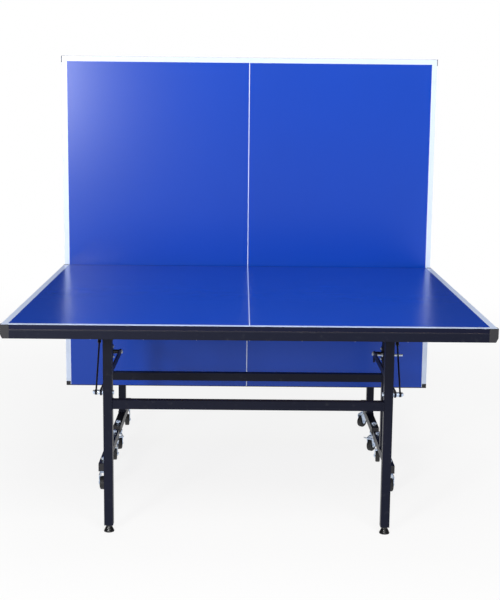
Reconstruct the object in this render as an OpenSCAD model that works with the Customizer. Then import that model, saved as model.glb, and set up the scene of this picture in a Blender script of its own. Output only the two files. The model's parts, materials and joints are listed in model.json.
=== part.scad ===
// Roll-away table tennis table made of two identical halves.
// Each half is a board on a steel frame that tilts on a wheeled chassis. A leg pair hangs
// from the frame, and tie links keep it upright while the board tilts. X runs along the net,
// Y along the table's length with the near half on the -Y side, and Z is up.

/* [Table] */
// Width of the table
table_w = 1525; // [1300:5:1830]
// Length of one half
half_l = 1369; // [1140:1:1645]
// Height of the playing surface
top_h = 760; // [660:1:915]
// Thickness of the board
board_t = 15; // [12:1:22]
// Gap between the halves at the net line
net_gap = 2; // [1:1:6]

/* [Apron] */
// Depth of the steel profile under the board
apron_d = 29; // [24:1:38]
// Width of the profile's flanges
apron_b = 25; // [16:1:40]
// Wall of the profile
apron_wall = 1.5; // [1:0.5:3]
// Step from the board's edge out to the profile's face
edge_step = 1; // [0.5:0.5:2]
// How far an end corner cap stands out at the side
cap_proud = 3; // [1:0.5:6]
// Side of the corner caps at the net, on the playing surface
net_cap = 18; // [10:1:24]

/* [Frame] */
// Outer width of the square tubes
tube_w = 30; // [25:1:36]
// Wall of the square tubes
tube_wall = 2; // [1.5:0.5:3]
// Distance from the table's side to the middle of an upright
upright_inset = 227.5; // [190:0.5:273]
// Distance from the middle of an upright to the middle of a leg
leg_inset = 69; // [64:1:82]
// Length of the chassis rails
rail_l = 470; // [400:1:560]
// Height of the middle of the chassis crossbar
chassis_bar_h = 388; // [330:1:420]
// Height of the middle of the leg crossbar
leg_bar_h = 443; // [370:1:520]

/* [Pivots] */
// Depth of the board pivot under the playing surface
pivot_drop = 88; // [84:1:96]
// Distance from the net edge to the board pivot
pivot_to_net = 430; // [380:1:500]
// Distance from the board pivot to the leg pivot
pivot_to_leg = 660; // [600:1:720]
// Distance from a leg pivot down to the tie link
link_drop = 190; // [170:1:210]
// Length of a stay between its pins
stay_l = 290; // [275:1:320]
// Height of the stay track's pin line over the pivots
track_rise = 45; // [40:1:50]
// Diameter of the board pivot bolts
pivot_d = 10; // [8:1:12]
// Diameter of the leg and link bolts
bolt_d = 8; // [6:1:10]

/* [Castors] */
// Diameter of the wheels
wheel_d = 50; // [44:1:56]
// Width of the wheels
wheel_w = 18; // [14:1:22]
// Height of a castor from the floor to the rail
castor_h = 77; // [74:1:92]
// Distance from the stem's axis back to the wheel's axle
trail = 20; // [14:1:24]
// Distance from the upright to each castor stem
stem_reach = 190; // [160:1:205]

/* [Small parts] */
// Thickness of the tie links
link_t = 6; // [5:1:8]
// Depth of the tie links
link_w = 22; // [20:1:26]
// Diameter of the stay rods
stay_d = 6; // [5:1:8]
// Diameter of the lock pin
lock_d = 8; // [6:1:9]
// Diameter of the feet at the floor
foot_d = 35; // [30:1:36]
// Height of the feet
foot_h = 24; // [18:1:32]

/* [Pose] */
// Tilt of the near board from the playing position
near_tilt = 0; // [0:1:90]
// Tilt of the far board from the playing position
far_tilt = 90; // [0:1:90]
// Gap between the upright far board and the net line
far_gap = 14; // [12:1:40]

/* [Hidden] */
$fn = 64;
fit = 0.1;           // radial clearance of a turning fit
play = 0.5;          // side clearance between pieces that turn past each other
plate_t = 3;         // thickness of the bent steel brackets
bracket_gap = 1;     // clearance on each side of a tube inside its bracket
bracket_hx = 20;     // half length of a bracket along the table
ear_rim = 9;         // metal around the bore in a bracket's ear
foot_plate_h = 52;   // height of a tie link boss's foot plate
cap_t = 4;           // thickness of a tube cap outside the tube
plug_l = 14;         // length of a cap's plug inside the tube
head_h = 5;          // height of a bolt head or nut
bolt_end = 2;        // how far a bolt's end shows past its nut
foot_clear = 2;      // from the side of a foot to the tie link that swings past it
stay_clear = 13.5;   // from a tie link to the middle of the stay beside it
cap_slope = 7;       // width of the slope under an end corner cap
cap_drop = 0.5;      // how far an end corner cap stays under the playing surface
edge_slope = 3.5;    // height of the slope from an apron's face up to the board's edge
over = 1;            // how far a cut runs past the faces it opens

// Heights
pivot_h = top_h - pivot_drop;
frame_z = top_h - board_t;
apron_z = frame_z - apron_d;
rail_z = castor_h;
upright_z = rail_z + tube_w;
upright_top = pivot_h + tube_w / 2 - 2;
link_h = pivot_h - link_drop;

// Places along the table, in the near half
net_y = -net_gap / 2;
end_y = net_y - half_l;
pivot_y = net_y - pivot_to_net;
leg_y = pivot_y - pivot_to_leg;
far_shift = pivot_y + pivot_drop + far_gap;

// Places across the table
side_x = table_w / 2;
upright_x = side_x - upright_inset;
leg_x = upright_x - leg_inset;
link_x = leg_x + foot_d / 2 + play + foot_clear;
stay_x = link_x + link_t + stay_clear;

// The stay's slider rides in an open channel under the board
slider_d = 14;
slider_w = 12;
track_in = slider_w + 2;
track_wall = 2;
track_z = pivot_h + track_rise - slider_d / 2 - 3;
stay_start = sqrt(pow(stay_l, 2) - pow(link_drop + track_rise, 2));
stay_end = link_drop + sqrt(pow(stay_l, 2) - pow(track_rise, 2));
track_spare = 14;
sleeve_d = 12;
sleeve_l = 22;
sleeve_at = 0.62;
eye_d = 18;

// Lock pin beside the link pivot
lock_reach = tube_w / 2 + 8;
lock_block = 16;
lock_clear = 3;
lock_out = 46;
collar_d = 14;
collar_w = 4;

// Castor details
stem_d = 10;
race_d = 36;
race_h = 7;
race_gap = 0.5;
fork_t = 2.5;
fork_gap = 1.5;
fork_top = castor_h - race_h - race_gap;
fork_race_h = 6;
fork_plate_z = fork_top - fork_race_h - fork_t;
axle_d = 6;
fork_half = 14;
fork_lip = 3;
fork_root = 18;
axle_rim = 6;
axle_nut_d = 10;
axle_nut_h = 3;
tyre_round = 4;
hub_d = wheel_d / 2;
hub_rim = 3;
hub_sink = 1.5;
pedal_y = -trail - 10;
pedal_z = wheel_d + 5;
pedal_pin_d = 4;
pedal_ear = 5;
pedal_l = 30;
pedal_w = 2 * (wheel_w / 2 + fork_gap) - 1;
pedal_t = 2.5;
pedal_lap = 3;
pedal_lean = 12;
tread_l = 9;
tread_lean = 40;
shoe_y = 11;
shoe_l = 6;
shoe_h = 5;

// Rest direction of each castor, as a turn about its stem from trailing away from the net:
// end left, end right, net left, net right in the near half, then the same in the far half
CASTOR_TURN = [[-5, 8, 8, -6], [135, 190, 143, 198]];
CORNERS = [[-1, -1], [1, -1], [-1, 1], [1, 1]];
CORNER_NAMES = ["end_left", "end_right", "net_left", "net_right"];

// Bounding box, which the model is centred on
far_rail_y = -pivot_y + far_shift + rail_l / 2 + cap_t;
mid_y = (end_y - edge_step + far_rail_y) / 2;

HALVES = ["near", "far"];
PIECES = [
    "top_board", "apron", "corner_caps", "cross_rails", "board_brackets", "stay_tracks",
    "rails", "uprights", "chassis_crossbar", "tube_caps", "castor_stems", "link_brackets",
    "chassis_bolts", "legs", "leg_crossbar", "feet", "leg_bolts", "tie_links", "stays", "lock_pin"
];
NODES = [
    for (half = HALVES) each concat(
        [for (piece = PIECES) str(half, "_", piece)],
        [for (kind = ["fork", "wheel"], corner = CORNER_NAMES) str(half, "_", kind, "_", corner)],
        [for (corner = ["net_left", "net_right"]) str(half, "_pedal_", corner)]
    )
];
node = "all";

NAVY = "#20263a";
BLUE = "#2450b4";
BLACK = "#14161a";
ZINC = "#a9b4c4";

// ---------- placing ----------

function tilt(half) = half == 0 ? near_tilt : far_tilt;

// Puts one half in its place: the far half is the near half turned about Z
module in_half(half) {
    translate([0, half * far_shift - mid_y, 0])
        rotate([0, 0, 180 * half])
            children();
}

// Tilts what is fixed to the board about the board pivot
module on_board(half) {
    in_half(half)
        translate([0, pivot_y, pivot_h])
            rotate([-tilt(half), 0, 0])
                translate([0, -pivot_y, -pivot_h])
                    children();
}

// Carries the legs, which stay upright while the board tilts
module on_legs(half) {
    in_half(half)
        translate([0, pivot_to_leg * (1 - cos(tilt(half))), pivot_to_leg * sin(tilt(half))])
            children();
}

// Makes a piece for the left and the right side
module both_sides() {
    for (side = [-1, 1])
        scale_x(side) children();
}

module scale_x(side) {
    if (side > 0) children();
    else mirror([1, 0, 0]) children();
}

// ---------- shared shapes ----------

// A square tube from z = 0 up to z = l, with an optional closed top
module tube_up(l, closed = false) {
    inner = tube_w - 2 * tube_wall;
    difference() {
        translate([-tube_w / 2, -tube_w / 2, 0])
            cube([tube_w, tube_w, l]);
        translate([-inner / 2, -inner / 2, -over])
            cube([inner, inner, closed ? l - tube_wall + over : l + 2 * over]);
    }
}

// The same tube lying along +Y
module tube_along(l) {
    rotate([-90, 0, 0]) tube_up(l);
}

// The same tube lying across, centred on x = 0
module tube_across(l) {
    translate([-l / 2, 0, 0]) rotate([0, 90, 0]) tube_up(l);
}

// A cylinder along +X that starts at x = 0
module rod_x(d, l) {
    rotate([0, 90, 0]) cylinder(d = d, h = l);
}

// A hexagonal head along +X that starts at x = 0
module hex_x(d, h) {
    rotate([0, 90, 0]) cylinder(d = d, h = h, $fn = 6);
}

// A bolt along +X with its head at x0 and its nut past x1
module bolt_x(d, x0, x1) {
    translate([x0 - head_h, 0, 0]) hex_x(1.8 * d, head_h);
    translate([x0 - over, 0, 0]) rod_x(d, x1 - x0 + over + head_h + bolt_end);
    translate([x1, 0, 0]) hex_x(1.8 * d, head_h);
}

// A ring along +X
module ring_x(outer, inner, h) {
    difference() {
        rod_x(outer, h);
        translate([-over, 0, 0]) rod_x(inner, h + 2 * over);
    }
}

// A plastic cap at the end of a tube that ends at z = 0
module tube_cap() {
    plug = tube_w - 2 * tube_wall;
    translate([-tube_w / 2, -tube_w / 2, 0]) cube([tube_w, tube_w, cap_t]);
    translate([-plug / 2, -plug / 2, -plug_l]) cube([plug, plug, plug_l + over]);
}

// ---------- board ----------

module top_board(half) {
    color(BLUE) on_board(half)
        difference() {
            translate([-side_x, end_y, frame_z]) cube([table_w, half_l, board_t]);
            for (side = [-1, 1])
                translate([side * side_x - net_cap, net_y - net_cap, frame_z - over])
                    cube([2 * net_cap, net_cap + over, board_t + 2 * over]);
        }
}

// The apron's section: a channel that opens inward, along +X, with its top at y = apron_d.
// The top outer corner slopes back to the board's edge.
module apron_section() {
    difference() {
        polygon([[0, 0], [apron_b, 0], [apron_b, apron_d], [edge_step, apron_d],
                 [0, apron_d - edge_slope]]);
        translate([apron_wall, apron_wall])
            square([apron_b, apron_d - 2 * apron_wall]);
    }
}

module apron(half) {
    side_l = half_l - 2 * apron_b;
    across_l = table_w - 2 * apron_b;
    color(NAVY) on_board(half) {
        both_sides()
            translate([side_x + edge_step, end_y + apron_b, apron_z])
                rotate([90, 0, 180]) linear_extrude(side_l) apron_section();
        translate([-across_l / 2, end_y - edge_step, apron_z])
            rotate([90, 0, 90]) linear_extrude(across_l) apron_section();
        translate([across_l / 2, net_y, apron_z])
            rotate([90, 0, -90]) linear_extrude(across_l) apron_section();
    }
}

// An end cap wraps the board's corner, and a net cap fills the notch in it
module corner_caps(half) {
    wide = apron_b + cap_proud;
    high = apron_d + board_t - cap_drop;
    color(BLACK) on_board(half) both_sides() {
        difference() {
            translate([side_x - apron_b, end_y + apron_b, apron_z])
                rotate([90, 0, 0])
                    linear_extrude(apron_b + edge_step)
                        polygon([[0, 0], [wide - cap_slope, 0], [wide, 2 * cap_slope],
                                 [wide, high], [0, high]]);
            translate([0, end_y, frame_z]) cube([side_x, half_l, board_t + over]);
        }
        translate([side_x - apron_b, net_y - apron_b, apron_z])
            cube([apron_b, apron_b, apron_d]);
        translate([side_x - net_cap, net_y - net_cap, apron_z])
            cube([net_cap, net_cap, apron_d + board_t]);
    }
}

module cross_rails(half) {
    wide = table_w + 2 * edge_step - 2 * apron_b;
    color(NAVY) on_board(half)
        for (y = [pivot_y, leg_y])
            translate([-wide / 2, y - tube_w / 2, apron_z])
                difference() {
                    cube([wide, tube_w, apron_d]);
                    translate([-over, tube_wall, tube_wall])
                        cube([wide + 2 * over, tube_w - 2 * tube_wall, apron_d - 2 * tube_wall]);
                }
}

// A bent bracket that straddles a tube and hangs from a cross rail, its bore at z = 0
module bracket(bore) {
    inner = tube_w / 2 + bracket_gap;
    rise = apron_z - pivot_h;
    ear = bore / 2 + ear_rim;
    difference() {
        union() {
            translate([-inner - plate_t, -bracket_hx, rise - plate_t])
                cube([2 * (inner + plate_t), 2 * bracket_hx, plate_t]);
            for (x = [-inner - plate_t, inner]) {
                translate([x, -ear, 0]) cube([plate_t, 2 * ear, rise - plate_t + 0.5]);
                translate([x, 0, 0]) rod_x(2 * ear, plate_t);
            }
        }
        translate([-inner - plate_t - over, 0, 0])
            rod_x(bore, 2 * (inner + plate_t + over));
    }
}

module board_brackets(half) {
    color(NAVY) on_board(half) both_sides() {
        translate([upright_x, pivot_y, pivot_h]) bracket(pivot_d + 2 * fit);
        translate([leg_x, leg_y, pivot_h]) bracket(bolt_d + 2 * fit);
    }
}

module stay_tracks(half) {
    y0 = leg_y + stay_start - track_spare - slider_d / 2;
    l = stay_end - stay_start + 2 * track_spare + slider_d;
    outer = track_in + 2 * track_wall;
    color(NAVY) on_board(half) both_sides()
        translate([stay_x - outer / 2, y0, track_z])
            difference() {
                cube([outer, l, frame_z - track_z]);
                translate([track_wall, track_wall, -over])
                    cube([track_in, l - 2 * track_wall, frame_z - track_z - track_wall + over]);
            }
}

// ---------- chassis ----------

module rails(half) {
    color(NAVY) in_half(half) both_sides()
        difference() {
            translate([upright_x, pivot_y - rail_l / 2, rail_z + tube_w / 2]) tube_along(rail_l);
            for (reach = [-stem_reach, stem_reach])
                translate([upright_x, pivot_y + reach, rail_z - over])
                    cylinder(d = stem_d + 2 * fit, h = tube_w + 2 * over);
        }
}

module uprights(half) {
    color(NAVY) in_half(half) both_sides()
        difference() {
            translate([upright_x, pivot_y, upright_z]) tube_up(upright_top - upright_z);
            translate([upright_x - tube_w, pivot_y, pivot_h]) rod_x(pivot_d + 2 * fit, 2 * tube_w);
            translate([upright_x - tube_w, pivot_y, link_h]) rod_x(bolt_d + 2 * fit, 2 * tube_w);
        }
}

module chassis_crossbar(half) {
    color(NAVY) in_half(half)
        translate([0, pivot_y, chassis_bar_h]) tube_across(2 * upright_x - tube_w);
}

module tube_caps(half) {
    color(BLACK) in_half(half) both_sides() {
        for (dir = [-1, 1])
            translate([upright_x, pivot_y + dir * rail_l / 2, rail_z + tube_w / 2])
                rotate([-90 * dir, 0, 0]) tube_cap();
        translate([upright_x, pivot_y, upright_top]) tube_cap_shallow();
    }
}

// The upright's cap has a short plug, so that it stays over the pivot bolt
module tube_cap_shallow() {
    plug = tube_w - 2 * tube_wall;
    translate([-tube_w / 2, -tube_w / 2, 0]) cube([tube_w, tube_w, cap_t]);
    translate([-plug / 2, -plug / 2, -cap_t]) cube([plug, plug, cap_t + over]);
}

// Stem, upper race and nut of one castor, on the stem's axis
module castor_stem() {
    translate([0, 0, fork_plate_z - 3]) cylinder(d = 16, h = 3 - race_gap);
    translate([0, 0, fork_plate_z - over - race_gap])
        cylinder(d = stem_d, h = rail_z + tube_w + 12 - fork_plate_z + race_gap);
    translate([0, 0, castor_h - race_h]) cylinder(d = race_d, h = race_h);
    translate([0, 0, rail_z + tube_w]) cylinder(d = 18, h = 1.5);
    translate([0, 0, rail_z + tube_w + 1]) cylinder(d = 19, h = 8, $fn = 6);
}

module castor_stems(half) {
    color(ZINC) in_half(half)
        for (corner = CORNERS)
            translate([corner[0] * upright_x, pivot_y + corner[1] * stem_reach, 0])
                castor_stem();
}

// Boss that holds the tie link off the upright, with its foot plate
module link_bracket() {
    boss_l = upright_x - tube_w / 2 - link_x - link_t - play;
    translate([link_x + link_t + play, 0, 0])
        difference() {
            union() {
                rod_x(2 * bolt_d, boss_l);
                translate([boss_l - plate_t, -tube_w / 2, -foot_plate_h / 2])
                    cube([plate_t, tube_w, foot_plate_h]);
            }
            translate([-over, 0, 0]) rod_x(bolt_d + 2 * fit, boss_l + 2 * over);
        }
}

// Guide block of the lock pin, on the front face of the right upright
module lock_guide() {
    translate([upright_x - tube_w / 2, -lock_reach - lock_block / 2, -lock_block / 2])
        difference() {
            cube([tube_w, lock_block, lock_block]);
            translate([-over, lock_block / 2, lock_block / 2])
                rod_x(lock_d + fit, tube_w + 2 * over);
        }
}

module link_brackets(half) {
    color(BLACK) in_half(half)
        translate([0, pivot_y, link_h]) {
            both_sides() link_bracket();
            lock_guide();
        }
}

module chassis_bolts(half) {
    grip = tube_w / 2 + bracket_gap + plate_t + play;
    color(ZINC) in_half(half) both_sides() {
        translate([0, pivot_y, pivot_h])
            bolt_x(pivot_d, upright_x - grip, upright_x + grip);
        translate([0, pivot_y, link_h])
            bolt_x(bolt_d, link_x - play, upright_x + tube_w / 2);
    }
}

module lock_pin(half) {
    tip = link_x + link_t + lock_clear;
    bar_l = upright_x + tube_w / 2 + lock_out - tip;
    color(ZINC) in_half(half)
        translate([tip, pivot_y - lock_reach, link_h]) {
            rod_x(lock_d, bar_l);
            translate([upright_x - tube_w / 2 - play - collar_w - tip, 0, 0])
                rod_x(collar_d, collar_w);
        }
}

// ---------- legs and links ----------

module legs(half) {
    leg_z = foot_h;
    color(NAVY) on_legs(half) both_sides()
        difference() {
            translate([leg_x, leg_y, leg_z]) tube_up(pivot_h + tube_w / 2 - leg_z, closed = true);
            for (z = [pivot_h, link_h])
                translate([leg_x - tube_w, leg_y, z]) rod_x(bolt_d + 2 * fit, 2 * tube_w);
        }
}

module leg_crossbar(half) {
    color(NAVY) on_legs(half)
        translate([0, leg_y, leg_bar_h]) tube_across(2 * leg_x - tube_w);
}

module feet(half) {
    plug = tube_w - 2 * tube_wall;
    neck_d = 0.6 * foot_d;
    neck_h = foot_h / 4;
    rim_h = 3;
    color(BLACK) on_legs(half) both_sides()
        translate([leg_x, leg_y, 0]) {
            cylinder(d = foot_d, h = rim_h);
            translate([0, 0, rim_h]) cylinder(d1 = foot_d, d2 = neck_d, h = foot_h - neck_h - rim_h);
            translate([0, 0, foot_h - neck_h - over]) cylinder(d = neck_d, h = neck_h + 2 * over);
            translate([-plug / 2, -plug / 2, foot_h]) cube([plug, plug, plug_l]);
        }
}

module leg_bolts(half) {
    grip = tube_w / 2 + bracket_gap + plate_t + play;
    stack = stay_x + eye_thick() / 2 + play;
    color(ZINC) on_legs(half) both_sides() {
        translate([0, leg_y, pivot_h]) bolt_x(bolt_d, leg_x - grip, leg_x + grip);
        translate([0, leg_y, link_h]) bolt_x(bolt_d, leg_x - tube_w / 2, stack);
        translate([leg_x + tube_w / 2, leg_y, link_h])
            ring_x(2 * bolt_d, bolt_d - 0.5, link_x - leg_x - tube_w / 2 - play);
        translate([link_x + link_t + play, leg_y, link_h])
            ring_x(2 * bolt_d, bolt_d - 0.5, stay_x - eye_thick() / 2 - link_x - link_t - 2 * play);
    }
}

function eye_thick() = stay_d + 1;

// Outline of a tie link, its link pivot at the origin and its leg pivot on the -x side
module link_outline(locked) {
    difference() {
        union() {
            translate([-pivot_to_leg, -link_w / 2]) square([pivot_to_leg, link_w]);
            circle(d = link_w);
            translate([-pivot_to_leg, 0]) circle(d = link_w);
            if (locked) {
                translate([-link_w / 2, -lock_reach]) square([link_w, lock_reach]);
                translate([0, -lock_reach]) circle(d = link_w);
            }
        }
        circle(d = bolt_d + 2 * fit);
        translate([-pivot_to_leg, 0]) circle(d = bolt_d + 2 * fit);
        if (locked) {
            translate([-lock_reach, 0]) circle(d = lock_d + 1);
            translate([0, -lock_reach]) circle(d = lock_d + 1);
        }
    }
}

module tie_links(half) {
    color(NAVY) in_half(half)
        translate([0, pivot_y, link_h])
            rotate([-tilt(half), 0, 0])
                for (side = [-1, 1])
                    translate([side > 0 ? link_x : -link_x - link_t, 0, 0])
                        rotate([90, 0, 90])
                            linear_extrude(link_t) link_outline(side > 0);
}

// Angle of a stay over the horizontal, toward the net, for a tilt of the board
function stay_angle(t) = asin((track_rise + link_drop * cos(t)) / stay_l) - t;

module stay() {
    eye = eye_thick();
    difference() {
        union() {
            translate([-eye / 2, 0, 0]) rod_x(eye_d, eye);
            rotate([-90, 0, 0]) cylinder(d = stay_d, h = stay_l);
            translate([0, stay_l * sleeve_at, 0])
                rotate([-90, 0, 0]) cylinder(d = sleeve_d, h = sleeve_l);
            translate([-slider_w / 2, stay_l, 0]) rod_x(slider_d, slider_w);
        }
        translate([-eye, 0, 0]) rod_x(bolt_d + 2 * fit, 2 * eye);
    }
}

module stays(half) {
    color(BLACK) on_legs(half) both_sides()
        translate([stay_x, leg_y, link_h])
            rotate([stay_angle(tilt(half)), 0, 0])
                stay();
}

// ---------- castors ----------

// Puts a castor piece on its stem, turned to its rest direction
module at_castor(half, i) {
    corner = CORNERS[i];
    in_half(half)
        translate([corner[0] * upright_x, pivot_y + corner[1] * stem_reach, 0])
            rotate([0, 0, CASTOR_TURN[half][i]])
                children();
}

// Outline of a fork's side plate, with y along the trail and z up
module fork_outline() {
    eye = axle_d / 2 + axle_rim;
    top = fork_plate_z + fork_t;
    back = pedal_y - pedal_ear;
    polygon([[-fork_half, top], [fork_half, top], [fork_half, fork_plate_z - fork_lip],
             [-trail + eye, wheel_d / 2], [-trail - eye, wheel_d / 2],
             [back, pedal_z - pedal_ear], [back, pedal_z + pedal_ear / 2], [-fork_root, top]]);
    translate([-trail, wheel_d / 2]) circle(r = eye);
}

module fork(half, i) {
    inner = wheel_w / 2 + fork_gap;
    color(ZINC) at_castor(half, i) {
        difference() {
            union() {
                for (x = [-inner - fork_t, inner])
                    translate([x, 0, 0])
                        rotate([90, 0, 90]) linear_extrude(fork_t) fork_outline();
                translate([-inner - fork_t / 2, -fork_half, fork_plate_z])
                    cube([2 * inner + fork_t, 2 * fork_half, fork_t]);
                translate([0, 0, fork_plate_z]) cylinder(d = race_d - 4, h = fork_t + fork_race_h);
            }
            translate([0, 0, fork_plate_z - over])
                cylinder(d = stem_d + 2 * fit, h = fork_race_h + fork_t + 2 * over);
            translate([-inner - fork_t - over, pedal_y, pedal_z])
                rod_x(pedal_pin_d + 2 * fit, 2 * (inner + fork_t + over));
        }
        translate([0, -trail, wheel_d / 2]) {
            translate([-inner - fork_t - axle_nut_h, 0, 0]) hex_x(axle_nut_d, axle_nut_h);
            translate([-inner - fork_t - over, 0, 0]) rod_x(axle_d, 2 * (inner + fork_t + over));
            translate([inner + fork_t, 0, 0]) hex_x(axle_nut_d, axle_nut_h);
        }
    }
}

// A tyred wheel with a sunk hub face on each side, on its axle
module wheel(half, i) {
    color(BLACK) at_castor(half, i)
        translate([0, -trail, wheel_d / 2])
            rotate([0, 90, 0])
                rotate_extrude()
                    difference() {
                        union() {
                            translate([0, -wheel_w / 2 + tyre_round])
                                square([wheel_d / 2, wheel_w - 2 * tyre_round]);
                            translate([0, -wheel_w / 2])
                                square([wheel_d / 2 - tyre_round, wheel_w]);
                            for (y = [-1, 1])
                                translate([wheel_d / 2 - tyre_round, y * (wheel_w / 2 - tyre_round)])
                                    circle(r = tyre_round);
                        }
                        translate([-wheel_d, -wheel_w]) square([wheel_d + axle_d / 2 + fit, 2 * wheel_w]);
                        for (y = [-1, 1])
                            translate([axle_d / 2 + hub_rim, y * wheel_w / 2 - hub_sink])
                                square([(hub_d - axle_d) / 2, 2 * hub_sink]);
                    }
}

// A brake pedal with its pin, shoe and turned-up tread
module pedal(half, i) {
    pin_l = pedal_w + 2 * fork_t + 2;
    color(ZINC) at_castor(half, i)
        translate([0, pedal_y, pedal_z]) {
            translate([-pin_l / 2, 0, 0]) rod_x(pedal_pin_d, pin_l);
            rotate([-pedal_lean, 0, 0]) {
                translate([-pedal_w / 2, -pedal_l, -pedal_t / 2])
                    cube([pedal_w, pedal_l + pedal_lap, pedal_t]);
                translate([-pedal_w / 2, -shoe_y, -shoe_h]) cube([pedal_w, shoe_l, shoe_h]);
                translate([-pedal_w / 2, -pedal_l, -pedal_t / 2])
                    rotate([-tread_lean + pedal_lean, 0, 0])
                        translate([0, -tread_l + over, 0]) cube([pedal_w, tread_l, pedal_t]);
            }
        }
}

// ---------- every node ----------

function wants(half, piece) = node == "all" || node == str(HALVES[half], "_", piece);

for (half = [0, 1]) {
    if (wants(half, "top_board")) top_board(half);
    if (wants(half, "apron")) apron(half);
    if (wants(half, "corner_caps")) corner_caps(half);
    if (wants(half, "cross_rails")) cross_rails(half);
    if (wants(half, "board_brackets")) board_brackets(half);
    if (wants(half, "stay_tracks")) stay_tracks(half);
    if (wants(half, "rails")) rails(half);
    if (wants(half, "uprights")) uprights(half);
    if (wants(half, "chassis_crossbar")) chassis_crossbar(half);
    if (wants(half, "tube_caps")) tube_caps(half);
    if (wants(half, "castor_stems")) castor_stems(half);
    if (wants(half, "link_brackets")) link_brackets(half);
    if (wants(half, "chassis_bolts")) chassis_bolts(half);
    if (wants(half, "legs")) legs(half);
    if (wants(half, "leg_crossbar")) leg_crossbar(half);
    if (wants(half, "feet")) feet(half);
    if (wants(half, "leg_bolts")) leg_bolts(half);
    if (wants(half, "tie_links")) tie_links(half);
    if (wants(half, "stays")) stays(half);
    if (wants(half, "lock_pin")) lock_pin(half);
    for (i = [0 : 3]) {
        if (wants(half, str("fork_", CORNER_NAMES[i]))) fork(half, i);
        if (wants(half, str("wheel_", CORNER_NAMES[i]))) wheel(half, i);
    }
    for (i = [2, 3])
        if (wants(half, str("pedal_", CORNER_NAMES[i]))) pedal(half, i);
}
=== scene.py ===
"""Looks of a roll-away table tennis table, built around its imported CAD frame.

Everything is in metres. Each operator makes or finishes one group of pieces, and the panel in the
3D view's sidebar lists them in the order in which main() calls them.
"""

import json
import math

import bmesh
import bpy
from bpy.props import FloatProperty, FloatVectorProperty, IntProperty, PointerProperty
from mathutils import Matrix, Vector


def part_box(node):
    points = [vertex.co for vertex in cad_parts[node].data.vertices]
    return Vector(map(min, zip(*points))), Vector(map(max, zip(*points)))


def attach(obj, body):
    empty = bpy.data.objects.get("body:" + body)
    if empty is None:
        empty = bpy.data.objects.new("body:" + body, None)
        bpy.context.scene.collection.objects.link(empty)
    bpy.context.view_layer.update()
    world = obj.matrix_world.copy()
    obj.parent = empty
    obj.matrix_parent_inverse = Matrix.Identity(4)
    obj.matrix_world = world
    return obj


bl_info = {
    "name": "Table Tennis Table Looks",
    "version": (1, 0, 0),
    "blender": (4, 5, 0),
    "location": "View3D > Sidebar > Table",
    "description": "Paints, coats and details a roll-away table tennis table and sets up its studio",
    "category": "Object",
}

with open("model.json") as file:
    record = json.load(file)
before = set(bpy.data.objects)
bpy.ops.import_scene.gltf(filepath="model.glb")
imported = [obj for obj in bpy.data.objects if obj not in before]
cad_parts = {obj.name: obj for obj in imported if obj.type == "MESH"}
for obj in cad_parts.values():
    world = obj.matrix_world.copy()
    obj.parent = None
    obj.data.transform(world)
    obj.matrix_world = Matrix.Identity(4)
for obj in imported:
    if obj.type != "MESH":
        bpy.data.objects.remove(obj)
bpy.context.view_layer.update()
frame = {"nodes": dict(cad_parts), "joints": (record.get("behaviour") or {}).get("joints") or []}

HALVES = ("near", "far")
CORNERS = ("end_left", "end_right", "net_left", "net_right")
SIDES = (-1, 1)
JOINTS = {joint["name"]: joint for joint in frame["joints"]}

NAVY_PIECES = (
    "apron", "cross_rails", "board_brackets", "stay_tracks", "rails", "uprights",
    "chassis_crossbar", "legs", "leg_crossbar", "tie_links",
)
ZINC_PIECES = ("castor_stems", "chassis_bolts", "leg_bolts", "lock_pin")
PLASTIC_PIECES = ("corner_caps", "tube_caps")
STEEL_PIECES = ("link_brackets", "stays")

# sizes in metres
PAINT_SKIN = 0.0004        # how far down a board's edge the playing surface's paint reaches
UNDER_SKIN = 0.0001        # how far up a board's edge the bare underside reaches
NET_BAND = 0.003           # dark band along the net edge
BRACKET_HALF = 0.0185      # half the width of a bent board bracket
APRON_SCREW_INSET = 0.012  # from the board's side to the middle of an apron screw
SIDE_RUN = (0.07, 0.08)    # from the end and the net to the side aprons' first and last screws
END_RUN = 0.11             # from the sides to the end aprons' first and last screws
SCREW_HEIGHT = 0.0026
TRACK_WIDTH = 0.018
TAB_RUN = 0.03             # from a track's ends to its first and last fixing tabs
TAB_WIDTH, TAB_THICK = 0.014, 0.0015
BOSS_PLATE = 0.003         # thickness of a link boss's foot plate
BOSS_BOLT_RISE = 0.0195    # from the link pivot to a bolt of its boss
BOSS_BOLT_WIDTH, BOSS_BOLT_HEIGHT = 0.0105, 0.0045
CORE_WALL, CORE_DEPTH = 0.0012, 0.0015
CORE_SUNK = 0.00085        # how deep the middle of a wheel's core lies in its face

# places and sizes as shares of a castor wheel's radius
WHEEL_FACE, CORE_INNER, CORE_OUTER = 0.36, 0.28, 0.585

# name, width and height, place, and the point that it faces
SOFT_BOXES = (
    ("sheen", (0.7, 1.0), (-2.05, -4.6, 1.68), (-0.5, 0.5, 1.3)),
    ("front", (3.0, 3.0), (0.8, -4.3, 4.4), (0.0, 0.3, 0.9)),
    ("top", (3.0, 3.0), (0.0, 0.2, 4.5), (0.0, 0.0, 0.7)),
)


# ---------- places, taken from the frame ----------


def board_place(half):
    """Board coordinates to the frame's: x across, y from the end edge to the net, z up from below."""
    low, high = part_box(half + "_top_board")
    if half == "near":
        return Matrix.Translation((0, low.y, low.z))
    return Matrix(((-1, 0, 0, 0), (0, 0, -1, high.y), (0, -1, 0, high.z), (0, 0, 0, 1)))


def board_size(half):
    """Width, length and thickness of a board."""
    low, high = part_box(half + "_top_board")
    size = high - low
    return (size.x, size.y, size.z) if half == "near" else (size.x, size.z, size.y)


def apron_depth(half):
    """How far the apron reaches below the board's underside."""
    low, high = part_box(half + "_apron")
    board_low, board_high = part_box(half + "_top_board")
    return board_low.z - low.z if half == "near" else high.y - board_high.y


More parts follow.
